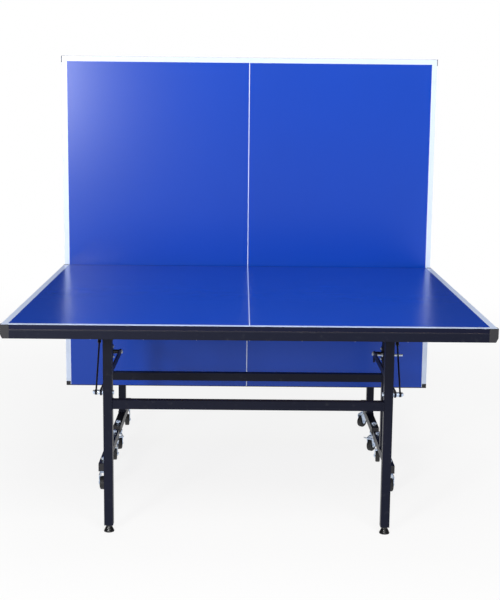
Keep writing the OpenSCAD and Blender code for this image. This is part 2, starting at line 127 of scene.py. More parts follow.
def on_board(half, joint):
    """Where a joint stands along the board, from the end edge to the net."""
    return (board_place(half).inverted() @ Vector(JOINTS[f"{half}_{joint}"]["pos_m"])).y


def section(low, high, axis, at):
    """The four corners of a box's outline in the plane where the axis has the value at."""
    others = [i for i in range(3) if i != axis]
    corners = []
    for first, second in ((0, 0), (1, 0), (1, 1), (0, 1)):
        point = [0.0, 0.0, 0.0]
        point[axis] = at
        point[others[0]] = (low, high)[first][others[0]]
        point[others[1]] = (low, high)[second][others[1]]
        corners.append(Vector(point))
    return corners


# ---------- node trees as arithmetic ----------


class Wire:
    """A node's output, so that node maths is written as arithmetic."""

    def __init__(self, tree, socket):
        self.tree, self.socket = tree, socket

    def __add__(self, other):
        return self.tree.maths("ADD", self, other)

    def __sub__(self, other):
        return self.tree.maths("SUBTRACT", self, other)

    def __rsub__(self, other):
        return self.tree.maths("SUBTRACT", other, self)

    def __mul__(self, other):
        return self.tree.maths("MULTIPLY", self, other)

    def __truediv__(self, other):
        return self.tree.maths("DIVIDE", self, other)

    def __rtruediv__(self, other):
        return self.tree.maths("DIVIDE", other, self)

    def __gt__(self, other):
        return self.tree.maths("GREATER_THAN", self, other)

    def __lt__(self, other):
        return self.tree.maths("LESS_THAN", self, other)

    def __or__(self, other):
        return self.tree.maths("MAXIMUM", self, other)

    def __abs__(self):
        return self.tree.maths("ABSOLUTE", self)

    __radd__ = __add__
    __rmul__ = __mul__


class Tree:
    """Builds a node tree. One method makes any node: its settings first, then its sockets."""

    def __init__(self, tree):
        self.tree = tree

    def node(self, kind, settings=None, values=None):
        made = self.tree.nodes.new(kind)
        for name, value in (settings or {}).items():
            if name == "stops":
                for index, (place, colour) in enumerate(value):
                    ramp = made.color_ramp.elements
                    stop = ramp[index] if index < len(ramp) else ramp.new(place)
                    stop.position, stop.color = place, colour
            else:
                setattr(made, name, value)
        for name, value in (values or {}).items():
            if isinstance(value, Wire):
                self.tree.links.new(value.socket, made.inputs[name])
            else:
                made.inputs[name].default_value = value
        return made

    def wire(self, kind, settings=None, values=None, output=0):
        """A new node's output."""
        return Wire(self, self.node(kind, settings, values).outputs[output])

    def maths(self, operation, *values):
        return self.wire("ShaderNodeMath", {"operation": operation}, dict(enumerate(values)))

    def mix(self, factor, first, second):
        """Two colours mixed."""
        return self.wire(
            "ShaderNodeMix", {"data_type": "RGBA"}, {0: factor, 6: first, 7: second}, output=2
        )

    def vector(self, x, y, z):
        return self.wire("ShaderNodeCombineXYZ", None, {0: x, 1: y, 2: z})


class Shade(Tree):
    """The node tree of one material, whose patterns read Object coordinates."""

    def __init__(self, name):
        self.material = bpy.data.materials.new(name)
        self.material.use_nodes = True
        super().__init__(self.material.node_tree)
        self.shader = self.tree.nodes["Principled BSDF"]
        self.object = self.wire("ShaderNodeTexCoord", output="Object")

    def set(self, **constants):
        """Sets sockets that are the same all over the surface."""
        for name, value in constants.items():
            self.shader.inputs[name.replace("_", " ")].default_value = value

    def link(self, name, wire):
        self.tree.links.new(wire.socket, self.shader.inputs[name])

    def noise(self, scale, detail=2.0, roughness=0.5, vector=None):
        values = {"Scale": scale, "Detail": detail, "Roughness": roughness}
        return self.wire("ShaderNodeTexNoise", None, {"Vector": vector or self.object, **values})

    def cells(self, scale, feature="F1", vector=None, output="Distance"):
        values = {"Vector": vector or self.object, "Scale": scale}
        return self.wire("ShaderNodeTexVoronoi", {"feature": feature}, values, output)

    def stretched(self, x, y, z):
        """Object coordinates with each axis scaled."""
        return self.wire("ShaderNodeMapping", None, {"Vector": self.object, "Scale": (x, y, z)})

    def band(self, wire, low, high):
        """Zero below low, one above high, smooth between."""
        return self.wire(
            "ShaderNodeMapRange",
            {"interpolation_type": "SMOOTHSTEP"},
            {"Value": wire, "From Min": low, "From Max": high},
        )

    def xyz(self, vector=None):
        parts = self.node("ShaderNodeSeparateXYZ", None, {0: vector or self.object})
        return [Wire(self, parts.outputs[i]) for i in range(3)]

    def bump(self, height, distance, strength, below=None):
        values = {"Height": height, "Distance": distance, "Strength": strength}
        if below is not None:
            values["Normal"] = below
        return self.wire("ShaderNodeBump", None, values)


def scaled(colour, amount):
    """A colour made lighter or darker."""
    return tuple(min(1.0, channel * amount) for channel in colour[:3]) + (1.0,)


# ---------- settings ----------


def colour_property(name, description, default):
    """A colour that the user may change."""
    return FloatVectorProperty(
        name=name, description=description, subtype="COLOR", size=4, min=0, max=1, default=default
    )


class TableColours(bpy.types.PropertyGroup):
    """Colours of the table's finishes."""

    board: colour_property("Board", "Paint on the playing surface", (0.0012, 0.0465, 0.4000, 1))
    lines: colour_property("Lines", "Paint of the white lines", (0.62, 0.71, 0.90, 1))
    edge: colour_property("Edge", "Band around the board's edge", (0.0072, 0.0086, 0.0240, 1))
    fibre: colour_property("Underside", "Bare fibreboard under the board", (0.2747, 0.1946, 0.1221, 1))
    navy: colour_property("Navy coat", "Powder coat on the frame", (0.0032, 0.0044, 0.0138, 1))
    black_steel: colour_property("Black steel", "Coat on the stays and bosses", (0.0070, 0.0078, 0.0120, 1))
    zinc: colour_property("Zinc", "Plating on castors, bolts and pins", (0.66, 0.73, 0.83, 1))
    plastic: colour_property("Plastic", "Corner and tube caps", (0.0034, 0.0040, 0.0072, 1))
    rubber: colour_property("Rubber", "Feet under the legs", (0.0050, 0.0050, 0.0062, 1))
    tyre: colour_property("Tyre", "Treads of the castor wheels", (0.0085, 0.0088, 0.0105, 1))
    hub: colour_property("Hub", "Moulded cores of the castor wheels", (0.030, 0.033, 0.042, 1))
    floor: colour_property("Floor", "Studio floor", (0.90, 0.90, 0.90, 1))


class TableSizes(bpy.types.PropertyGroup):
    """Sizes of the painted lines and the small hardware."""

    line_width: FloatProperty(
        name="Edge line", description="Width of the lines along the sides and the end",
        default=0.020, min=0.005, unit="LENGTH",
    )
    centre_width: FloatProperty(
        name="Centre line", description="Width of the line down the middle",
        default=0.003, min=0.001, unit="LENGTH",
    )
    weld_radius: FloatProperty(
        name="Weld", description="Radius of a weld bead", default=0.0024, min=0.0005, unit="LENGTH"
    )
    weld_pitch: FloatProperty(
        name="Weld ripple", description="Distance between the ripples of a weld bead",
        default=0.0042, min=0.001, unit="LENGTH",
    )
    screw_head: FloatProperty(
        name="Screw head", description="Diameter of the heads of the board screws",
        default=0.0085, min=0.003, unit="LENGTH",
    )
    screw_pitch: FloatProperty(
        name="Screw spacing", description="Distance between the screws along the apron",
        default=0.165, min=0.05, unit="LENGTH",
    )
    hub_ribs: IntProperty(
        name="Hub ribs", description="Ribs on each face of a castor wheel's core", default=8, min=3
    )


class StudioSettings(bpy.types.PropertyGroup):
    """Camera and lights of the studio."""

    camera_place: FloatVectorProperty(
        name="Camera", description="Where the camera stands", subtype="TRANSLATION", unit="LENGTH",
        size=3, default=(-0.0280, -4.5610, 1.4530),
    )
    yaw: FloatProperty(
        name="Yaw", description="Turn of the camera to the right of the table's length",
        default=0.0077, subtype="ANGLE",
    )
    pitch: FloatProperty(
        name="Pitch", description="Tilt of the camera below the horizon", default=0.1633, subtype="ANGLE"
    )
    roll: FloatProperty(
        name="Roll", description="Turn of the camera about its line of sight",
        default=-0.0103, subtype="ANGLE",
    )
    lens: FloatProperty(
        name="Lens", description="Focal length of the camera", default=73.8, min=10, unit="CAMERA"
    )
    daylight: FloatProperty(
        name="Surround", description="Strength of the surround as a light", default=0.16, min=0
    )
    shade: FloatProperty(
        name="Back shade", description="Strength of the surround low behind the table",
        default=0.04, min=0,
    )
    floor_glow: FloatProperty(
        name="Floor glow", description="Share of the floor's white that is its own light",
        default=0.86, min=0, max=1, subtype="FACTOR",
    )
    sheen: FloatProperty(
        name="Sheen light", description="Power of the small soft box at the left of the camera",
        default=135.0, min=0, unit="POWER",
    )
    front: FloatProperty(
        name="Front light", description="Power of the wide panel over the camera", default=235.0,
        min=0, unit="POWER",
    )
    top: FloatProperty(
        name="Top light", description="Power of the panel over the table", default=42.0,
        min=0, unit="POWER",
    )


# ---------- meshes ----------


def new_piece(name, mesh):
    """An object for a mesh, in the scene."""
    piece = bpy.data.objects.new(name, mesh)
    bpy.context.scene.collection.objects.link(piece)
    return piece


def mesh_from(build, name):
    """A mesh made by a function that fills a bmesh."""
    shape = bmesh.new()
    build(shape)
    mesh = bpy.data.meshes.new(name)
    shape.to_mesh(mesh)
    shape.free()
    return mesh


def outward(mesh):
    """Turns the faces of closed shells outwards."""
    shape = bmesh.new()
    shape.from_mesh(mesh)
    bmesh.ops.recalc_face_normals(shape, faces=shape.faces)
    shape.to_mesh(mesh)
    shape.free()


def paths_piece(name, paths):
    """Loops and lines of points as edges, for a tree that follows them. A path is (points, closed)."""
    points, edges = [], []
    for path, closed in paths:
        first = len(points)
        points += path
        edges += [(first + i, first + i + 1) for i in range(len(path) - 1)]
        if closed:
            edges.append((first + len(path) - 1, first))
    mesh = bpy.data.meshes.new(name)
    mesh.from_pydata(points, edges, [])
    return new_piece(name, mesh)


def points_piece(name, places):
    """Points for a tree that puts something on each. A place is (point, direction)."""
    mesh = bpy.data.meshes.new(name)
    mesh.from_pydata([point for point, _ in places], [], [])
    turns = mesh.attributes.new("turn", "FLOAT_VECTOR", "POINT")
    for item, (_, aim) in zip(turns.data, places):
        item.vector = Vector(aim).to_track_quat("Z", "Y").to_euler()
    return new_piece(name, mesh)


def bake(piece, tree, values, body):
    """Runs a geometry tree on a piece and keeps the result as a plain mesh that rides on a body."""
    modifier = piece.modifiers.new(tree.name, "NODES")
    modifier.node_group = tree
    for item in tree.interface.items_tree:
        if item.item_type == "SOCKET" and item.in_out == "INPUT" and item.name in values:
            modifier[item.identifier] = values[item.name]
    depsgraph = bpy.context.evaluated_depsgraph_get()
    mesh = bpy.data.meshes.new_from_object(piece.evaluated_get(depsgraph), depsgraph=depsgraph)
    if not mesh.polygons:
        raise RuntimeError(f"{piece.name} came out empty")
    piece.modifiers.remove(modifier)
    piece.data = mesh
    outward(mesh)
    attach(piece, body)


class GeometryTree(Tree):
    """A geometry tree with named inputs, whose result is realised and given its material."""

    def __init__(self, name, inputs):
        super().__init__(bpy.data.node_groups.new(name, "GeometryNodeTree"))
        face = self.tree.interface
        face.new_socket(name="Geometry", in_out="INPUT", socket_type="NodeSocketGeometry")
        face.new_socket(name="Geometry", in_out="OUTPUT", socket_type="NodeSocketGeometry")
        for label, kind in inputs.items():
            face.new_socket(name=label, in_out="INPUT", socket_type="NodeSocket" + kind)
        self.group = self.node("NodeGroupInput")

    def input(self, name):
        return Wire(self, self.group.outputs[name])

    def finish(self, geometry, smooth=True):
        shaded = self.wire(
            "GeometryNodeSetShadeSmooth", None, {"Geometry": geometry, "Shade Smooth": smooth}
        )
        real = self.wire("GeometryNodeRealizeInstances", None, {"Geometry": shaded})
        painted = self.wire(
            "GeometryNodeSetMaterial", None, {"Geometry": real, "Material": self.input("Material")}
        )
        self.node("NodeGroupOutput", None, {"Geometry": painted})
        return self.tree

    def turned(self):
        """The rotation that each point keeps in its turn attribute."""
        angles = self.wire(
            "GeometryNodeInputNamedAttribute", {"data_type": "FLOAT_VECTOR"}, {"Name": "turn"}
        )
        return self.wire("FunctionNodeEulerToRotation", None, {"Euler": angles})


def weld_tree():
    """A rippled bead along the edges of a piece."""
    tree = GeometryTree(
        "Weld bead", {"Radius": "Float", "Ripple": "Float", "Material": "Material"}
    )
    radius, ripple = tree.input("Radius"), tree.input("Ripple")
    path = tree.wire("GeometryNodeMeshToCurve", None, {"Mesh": tree.input("Geometry")})
    path = tree.wire(
        "GeometryNodeResampleCurve", {"mode": "LENGTH"}, {"Curve": path, "Length": ripple * 0.25}
    )
    run = tree.wire("GeometryNodeSplineParameter", output="Length")
    wave = tree.maths("SINE", run * (2 * math.pi) / ripple)
    wander = tree.wire(
        "ShaderNodeTexNoise", None, {"Scale": 90.0, "Detail": 1.0}, output="Fac"
    )
    width = radius * (0.86 + wave * 0.10 + wander * 0.30)
    profile = tree.wire(
        "GeometryNodeCurvePrimitiveCircle", None, {"Resolution": 6, "Radius": 1.0}
    )
    values = {"Curve": path, "Profile Curve": profile, "Scale": width, "Fill Caps": True}
    return tree.finish(tree.wire("GeometryNodeCurveToMesh", None, values))


def scatter_tree():
    """A copy of one small part on each point, turned as the point says and spun at random."""
    tree = GeometryTree(
        "Part on points",
        {"Part": "Object", "Width": "Float", "Height": "Float", "Spin": "Float", "Seed": "Int",
         "Material": "Material"},
    )
    part = tree.wire("GeometryNodeObjectInfo", None, {"Object": tree.input("Part")}, output="Geometry")
    random = tree.node(
        "FunctionNodeRandomValue", {"data_type": "FLOAT"}, {"Max": 1.0, "Seed": tree.input("Seed")}
    )
    angle = Wire(tree, random.outputs[1]) * tree.input("Spin")
    spin = tree.wire("FunctionNodeEulerToRotation", None, {"Euler": tree.vector(0.0, 0.0, angle)})
    turn = tree.wire(
        "FunctionNodeRotateRotation", {"rotation_space": "LOCAL"},
        {"Rotation": tree.turned(), "Rotate By": spin},
    )
    width = tree.input("Width")
    placed = tree.wire(
        "GeometryNodeInstanceOnPoints", None,
        {"Points": tree.input("Geometry"), "Instance": part, "Rotation": turn,
         "Scale": tree.vector(width, width, tree.input("Height"))},
    )
    return tree.finish(placed, smooth=False)


def hub_tree():
    """The moulded core that shows in a wheel's face: two rings joined by ribs, on each point."""
    tree = GeometryTree(
        "Wheel core",
        {"Inner": "Float", "Outer": "Float", "Wall": "Float", "Depth": "Float", "Ribs": "Int",
         "Material": "Material"},
    )
    inner, outer = tree.input("Inner"), tree.input("Outer")
    wall, depth = tree.input("Wall"), tree.input("Depth")

    def ring(radius, height):
        circle = tree.wire(
            "GeometryNodeCurvePrimitiveCircle", None, {"Resolution": 28, "Radius": radius}
        )
        profile = tree.wire(
            "GeometryNodeCurvePrimitiveQuadrilateral", None, {"Width": wall, "Height": height}
        )
        return tree.wire(
            "GeometryNodeCurveToMesh", None, {"Curve": circle, "Profile Curve": profile}
        )

    span = outer - inner
    rib_size = tree.vector(span, wall * 0.8, depth * 0.85)
    rib = tree.wire("GeometryNodeMeshCube", None, {"Size": rib_size})
    rib = tree.wire(
        "GeometryNodeTransform", None,
        {"Geometry": rib, "Translation": tree.vector((inner + outer) * 0.5, 0.0, 0.0)},
    )
    count = tree.input("Ribs")
    seats = tree.wire("GeometryNodeMeshLine", None, {"Count": count, "Offset": (0.0, 0.0, 0.0)})
    index = tree.wire("GeometryNodeInputIndex")
    angle = tree.vector(0.0, 0.0, index * (2 * math.pi) / count)
    ribs = tree.wire(
        "GeometryNodeInstanceOnPoints", None,
        {"Points": seats, "Instance": rib,
         "Rotation": tree.wire("FunctionNodeEulerToRotation", None, {"Euler": angle})},
    )
    core = tree.node("GeometryNodeJoinGeometry")
    for shape in (ring(outer, depth), ring(inner, depth), ribs):
        tree.tree.links.new(shape.socket, core.inputs[0])
    placed = tree.wire(
        "GeometryNodeInstanceOnPoints", None,
        {"Points": tree.input("Geometry"), "Instance": Wire(tree, core.outputs[0]),
         "Rotation": tree.turned()},
    )
    return tree.finish(placed, smooth=False)


def lathe(shape, profile, steps=16):
    """A closed turned solid about Z from (radius, height) pairs that start and end on the axis."""
    rings = []
    for radius, height in profile:
        if radius == 0:
            rings.append([shape.verts.new((0, 0, height))])
        else:
            rings.append([
                shape.verts.new((
                    radius * math.cos(2 * math.pi * i / steps),
                    radius * math.sin(2 * math.pi * i / steps),
                    height,
                ))
                for i in range(steps)
            ])
    for lower, upper in zip(rings, rings[1:]):
        for i in range(steps):
            j = (i + 1) % steps
            corners = [ring[k % len(ring)] for ring, k in ((lower, i), (lower, j), (upper, j), (upper, i))]
            shape.faces.new(list(dict.fromkeys(corners)))
    bmesh.ops.recalc_face_normals(shape, faces=shape.faces)


def screw_head_part():
    """A pan head of unit width and height with a cross recess, for the scatter tree."""
    dome = [(0, -0.4), (0.44, -0.4), (0.5, 0), (0.5, 0.3), (0.44, 0.72), (0.28, 0.95), (0, 1)]
    head = new_piece("pan_head", mesh_from(lambda shape: lathe(shape, dome), "pan_head"))
    slot_length, slot_width, slot_height, slot_middle = 0.52, 0.11, 0.9, 0.9

    def cross(shape):
        slot = Matrix.Translation((0, 0, slot_middle)) @ Matrix.Diagonal(
            (slot_length, slot_width, slot_height, 1)
        )
        for turn in (0, math.pi / 2):
            bmesh.ops.create_cube(shape, size=1, matrix=Matrix.Rotation(turn, 4, "Z") @ slot)

    cutter = new_piece("cross_recess", mesh_from(cross, "cross_recess"))
    cut = head.modifiers.new("recess", "BOOLEAN")
    cut.operation, cut.object, cut.solver, cut.use_self = "DIFFERENCE", cutter, "EXACT", True
    depsgraph = bpy.context.evaluated_depsgraph_get()
    mesh = bpy.data.meshes.new_from_object(head.evaluated_get(depsgraph), depsgraph=depsgraph)
    head.modifiers.clear()
    head.data = mesh
    bpy.data.objects.remove(cutter)
    return head


def hex_head_part():
    """A flanged hexagon head of unit width and height, for the scatter tree."""

    def build(shape):
        lathe(shape, [(0, 0), (0.5, 0), (0.5, 0.16), (0.44, 0.24), (0, 0.24)])
        hexagon = bmesh.new()
        lathe(hexagon, [(0, 0.2), (0.4, 0.2), (0.4, 0.86), (0.34, 1), (0, 1)], steps=6)
        made = bpy.data.meshes.new("hexagon")
        hexagon.to_mesh(made)
        hexagon.free()
        shape.from_mesh(made)
        bpy.data.meshes.remove(made)

    return new_piece("hex_head", mesh_from(build, "hex_head"))


def tab_part():
    """A rounded fixing tab, 1 unit wide and high, whose straight side is at y = 0."""

    def build(shape):
        steps = 8
        outline = [(-0.5, -0.05), (0.5, -0.05)]
        for i in range(steps + 1):
            angle = math.pi * i / steps
            outline.append((0.5 * math.cos(angle), 0.5 + 0.5 * math.sin(angle)))
        lower, upper = ([shape.verts.new((x, y, z)) for x, y in outline] for z in (0, 1))
        shape.faces.new(lower)
        shape.faces.new(upper)
        for i in range(len(outline)):
            shape.faces.new([lower[i - 1], lower[i], upper[i], upper[i - 1]])
        bmesh.ops.recalc_face_normals(shape, faces=shape.faces)

    return new_piece("fixing_tab", mesh_from(build, "fixing_tab"))


# ---------- finishes ----------


def board_paint(half, colours, sizes):
    """Satin paint with white lines on the playing surface, a dark edge band and bare fibreboard below."""
    shade = Shade(half + "_board_paint")
    low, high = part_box(half + "_top_board")
    width, length, thick = board_size(half)
    x, y, z = shade.xyz()
    along = y - low.y if half == "near" else high.z - z
    height = z - low.z if half == "near" else high.y - y

    playing = height > thick - PAINT_SKIN
    under = height < UNDER_SKIN
    ragged = (shade.noise(420.0, 2.0) - 0.5) * 0.0003
    side = abs(x) + ragged > width / 2 - sizes.line_width
    end = along + ragged < sizes.line_width
    centre = abs(x) + ragged * 0.5 < sizes.centre_width / 2
    lines = side | end | centre
    net_edge = along > length - NET_BAND

    cloudy = shade.noise(2.2, 3.0, 0.55)
    blue = shade.mix(cloudy, scaled(colours.board, 0.94), scaled(colours.board, 1.06))
    speckle = shade.band(shade.noise(1900.0, 1.0), 0.60, 0.74)
    blue = shade.mix(speckle * 0.10, blue, scaled(colours.board, 1.5))
    grime = shade.band(shade.noise(14.0, 4.0, 0.6), 0.45, 0.8)
    white = shade.mix(grime * 0.35, tuple(colours.lines), scaled(colours.lines, 0.82))
    paint = shade.mix(lines, blue, white)
    paint = shade.mix(net_edge, paint, tuple(colours.edge))

    chips = shade.cells(260.0, vector=shade.stretched(1.0, 0.55, 0.55), output="Color")
    chip, _, _ = shade.xyz(chips)
    fibres = shade.noise(95.0, 5.0, 0.7)
    fibre = shade.mix(chip, scaled(colours.fibre, 0.78), scaled(colours.fibre, 1.16))
    fibre = shade.mix(shade.band(fibres, 0.35, 0.75) * 0.5, fibre, scaled(colours.fibre, 0.55))

    edge = shade.mix(cloudy, tuple(colours.edge), scaled(colours.edge, 1.2))
    colour = shade.mix(playing, edge, paint)
    shade.link("Base Color", shade.mix(under, colour, fibre))

    scuffs = shade.noise(3.5, 4.0, 0.5)
    streaks = shade.noise(26.0, 3.0, 0.6, vector=shade.stretched(0.35, 2.6, 2.6))
    rough = 0.235 + scuffs * 0.02 + streaks * 0.016 + lines * 0.05
    rough = rough * playing + (1 - playing) * 0.5
    shade.link("Roughness", rough * (1 - under) + under * 0.85)
    shade.link("Metallic", (1 - playing) * (1 - under) * 0.8)

    peel = shade.noise(760.0, 2.0, 0.5)
    skin = peel * 0.5 + lines * 0.9
    surface = shade.bump(skin * playing + chip * under * 0.8, 0.00006, 0.55)
    shade.link("Normal", shade.bump(fibres * under, 0.0004, 0.5, below=surface))
    shade.set(Specular_IOR_Level=0.34)
    return shade.material


def powder_coat(name, colour, gloss, grain):
    """Satin powder coat: a fine orange peel, faint clouding and a little dust."""
    shade = Shade(name)
    cloudy = shade.noise(9.0, 4.0, 0.6)
    base = shade.mix(cloudy, scaled(colour, 0.86), scaled(colour, 1.16))
    fleck = shade.band(shade.noise(2400.0, 1.0), 0.62, 0.72)
    base = shade.mix(fleck * 0.35, base, scaled(colour, 2.6))
    dust = shade.band(shade.noise(34.0, 5.0, 0.7), 0.56, 0.86)
    shade.link("Base Color", shade.mix(dust * 0.16, base, (0.16, 0.16, 0.17, 1)))
    shade.link("Roughness", gloss + cloudy * 0.10 + dust * 0.14)
    peel = shade.noise(grain, 2.0, 0.55)
    fine = shade.cells(grain * 1.7, feature="SMOOTH_F1")
    shade.link("Normal", shade.bump(peel + fine * 0.5, 0.00011, 0.6))
    shade.set(Specular_IOR_Level=0.15)
    return shade.material


def zinc_plate(name, colour):
    """Bright zinc plating with its blue and straw tints, drawing marks and handling marks."""
    shade = Shade(name)
    patches = shade.noise(70.0, 4.0, 0.6)
    tint = shade.wire(
        "ShaderNodeValToRGB",
        {"stops": [(0.0, scaled(colour, 0.62)), (1.0, scaled(colour, 1.12)),
                   (0.52, (colour[0] * 0.86, colour[1] * 0.95, colour[2] * 1.1, 1)),
                   (0.64, (colour[0] * 1.08, colour[1] * 1.0, colour[2] * 0.84, 1))]},
        {"Fac": patches},
    )
    spangle, _, _ = shade.xyz(shade.cells(620.0, output="Color"))
    shade.link("Base Color", shade.mix(spangle * 0.25, tint, scaled(colour, 0.5)))
    smears = shade.noise(210.0, 3.0, 0.6)
    shade.link("Roughness", 0.20 + smears * 0.22 + spangle * 0.08)
    drawn = shade.noise(900.0, 2.0, 0.5, vector=shade.stretched(1.0, 1.0, 0.12))
    shade.link("Normal", shade.bump(drawn + smears * 0.6, 0.00006, 0.5))
    shade.set(Metallic=0.7)
    return shade.material


def moulded_plastic(name, colour):
    """Black plastic with a spark-eroded grain and rubbed high spots."""
    shade = Shade(name)
    grain = shade.cells(1500.0, feature="SMOOTH_F1")
    worn = shade.band(shade.noise(60.0, 5.0, 0.65), 0.5, 0.8)
    base = shade.mix(grain, scaled(colour, 1.25), scaled(colour, 0.8))
    shade.link("Base Color", shade.mix(worn * 0.25, base, scaled(colour, 2.4)))
    shade.link("Roughness", 0.44 + grain * 0.12 + worn * 0.08)
    shade.link("Normal", shade.bump(grain + shade.noise(700.0, 2.0) * 0.4, 0.00010, 0.6))
    shade.set(Specular_IOR_Level=0.10)
    return shade.material


def glossy_rubber(name, colour):
    """Polished rubber of the feet, with faint moulding rings and dull patches."""
    shade = Shade(name)
    _, _, z = shade.xyz()
    rings = shade.maths("SINE", z * 2400.0)
    dull = shade.band(shade.noise(90.0, 4.0, 0.6), 0.45, 0.75)
    shade.link("Base Color", shade.mix(dull * 0.3, tuple(colour), scaled(colour, 2.4)))
    shade.link("Roughness", 0.15 + dull * 0.22)
    shade.link("Normal", shade.bump(rings * 0.4 + shade.noise(420.0, 3.0), 0.00010, 0.5))
    return shade.material


def tyre_rubber(name, colour):
    """Hard tyre rubber with road dust in its pores."""
    shade = Shade(name)
    pores = shade.noise(820.0, 3.0, 0.6)
    dust = shade.band(shade.noise(120.0, 5.0, 0.7), 0.42, 0.78)
    shade.link("Base Color", shade.mix(dust * 0.35, tuple(colour), (0.055, 0.053, 0.05, 1)))
    shade.link("Roughness", 0.52 + dust * 0.2)
    shade.link("Normal", shade.bump(pores + dust * 0.5, 0.00014, 0.6))
    shade.set(Specular_IOR_Level=0.4)
    return shade.material


# finish, its maker, its colour setting, and a powder coat's gloss and grain
FINISHES = {
    "navy_coat": (powder_coat, "navy", 0.36, 620.0),
    "black_coat": (powder_coat, "black_steel", 0.30, 900.0),
    "zinc_plate": (zinc_plate, "zinc"),
    "black_plastic": (moulded_plastic, "plastic"),
    "hub_plastic": (moulded_plastic, "hub"),
    "foot_rubber": (glossy_rubber, "rubber"),
    "tyre_rubber": (tyre_rubber, "tyre"),
}


def finish_of(name):
    """A finish by name, made once."""
    if name in bpy.data.materials:
        return bpy.data.materials[name]
    maker, colour, *texture = FINISHES[name]
    return maker(name, getattr(bpy.context.scene.table_colours, colour), *texture)


def put_finish(node, material):
    """Gives a CAD node's surface its finish."""
    mesh = frame["nodes"][node].data
    mesh.materials.clear()
    mesh.materials.append(material)


# ---------- operators ----------


class TABLE_OT_paint_boards(bpy.types.Operator):
    """Paint both boards blue with their white lines, and leave the underside bare"""

    bl_idname = "table.paint_boards"
    bl_label = "Paint the boards"

    def execute(self, context):
        for half in HALVES:
            paint = board_paint(half, context.scene.table_colours, context.scene.table_sizes)
            put_finish(half + "_top_board", paint)
        return {"FINISHED"}


class TABLE_OT_coat_frame(bpy.types.Operator):
    """Powder coat the aprons, chassis, legs and links"""

    bl_idname = "table.coat_frame"
    bl_label = "Coat the frame"

    def execute(self, context):
        for half in HALVES:
            for piece in NAVY_PIECES:
                put_finish(f"{half}_{piece}", finish_of("navy_coat"))
            for piece in STEEL_PIECES:
                put_finish(f"{half}_{piece}", finish_of("black_coat"))
        return {"FINISHED"}


class TABLE_OT_finish_fittings(bpy.types.Operator):
    """Finish the castors, bolts, caps and feet"""

    bl_idname = "table.finish_fittings"
    bl_label = "Finish the fittings"

    def execute(self, context):
        for half in HALVES:
            for piece in ZINC_PIECES:
                put_finish(f"{half}_{piece}", finish_of("zinc_plate"))
            for piece in PLASTIC_PIECES:
                put_finish(f"{half}_{piece}", finish_of("black_plastic"))
            put_finish(half + "_feet", finish_of("foot_rubber"))
            for corner in CORNERS:
                put_finish(f"{half}_fork_{corner}", finish_of("zinc_plate"))
                put_finish(f"{half}_wheel_{corner}", finish_of("tyre_rubber"))
                if corner.startswith("net"):
                    put_finish(f"{half}_pedal_{corner}", finish_of("zinc_plate"))
        return {"FINISHED"}


class TABLE_OT_add_welds(bpy.types.Operator):
    """Run weld beads round the tube joints of the chassis, the legs and the board's frame"""

    bl_idname = "table.add_welds"
    bl_label = "Add the welds"

    def execute(self, context):
        sizes = context.scene.table_sizes
        tree = weld_tree()
        values = {
            "Radius": sizes.weld_radius, "Ripple": sizes.weld_pitch, "Material": finish_of("navy_coat")
        }
        for half in HALVES:
            for group, paths, body in (
                ("chassis_welds", self.chassis_paths(half), "chassis"),
                ("leg_welds", self.bar_ends(half + "_leg_crossbar"), "leg_frame"),
                ("board_welds", self.board_paths(half), "top"),
            ):
                piece = paths_piece(f"{half}_{group}", paths)
                bake(piece, tree, values, f"{half}_{body}")
        return {"FINISHED"}

    def bar_ends(self, node):
        """Loops round both ends of a crossbar."""
        low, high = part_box(node)
        return [(section(low, high, 0, x), True) for x in (low.x, high.x)]

    def chassis_paths(self, half):
        """Loops round the feet of the uprights and the ends of their crossbar."""
        low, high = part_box(half + "_uprights")
        tube = high.y - low.y
        paths = []
        for side in SIDES:
            inner, outer = sorted((side * high.x, side * (high.x - tube)))
            foot_low, foot_high = Vector((inner, low.y, low.z)), Vector((outer, high.y, low.z))
            paths.append((section(foot_low, foot_high, 2, low.z), True))
        return paths + self.bar_ends(half + "_chassis_crossbar")

    def board_paths(self, half):
        """Lines round the ends of the cross rails, and along both sides of each bent bracket."""
        low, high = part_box(half + "_uprights")
        tube = high.y - low.y
        place, depth = board_place(half), apron_depth(half)
        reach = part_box(half + "_cross_rails")[1].x
        leg_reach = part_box(half + "_legs")[1].x
        lines = []
        for joint, bracket_x in (("fold", high.x - tube / 2), ("leg_turn", leg_reach - tube / 2)):
            along = on_board(half, joint)
            near, far = along - tube / 2, along + tube / 2
            for x in (-reach, reach):
                lines.append([(x, near, 0), (x, near, -depth), (x, far, -depth), (x, far, 0)])
            for side in SIDES:
                for y in (near, far):
                    middle = side * bracket_x
                    lines.append([(middle + dx, y, -depth) for dx in (-BRACKET_HALF, BRACKET_HALF)])
        return [([place @ Vector(point) for point in line], False) for line in lines]


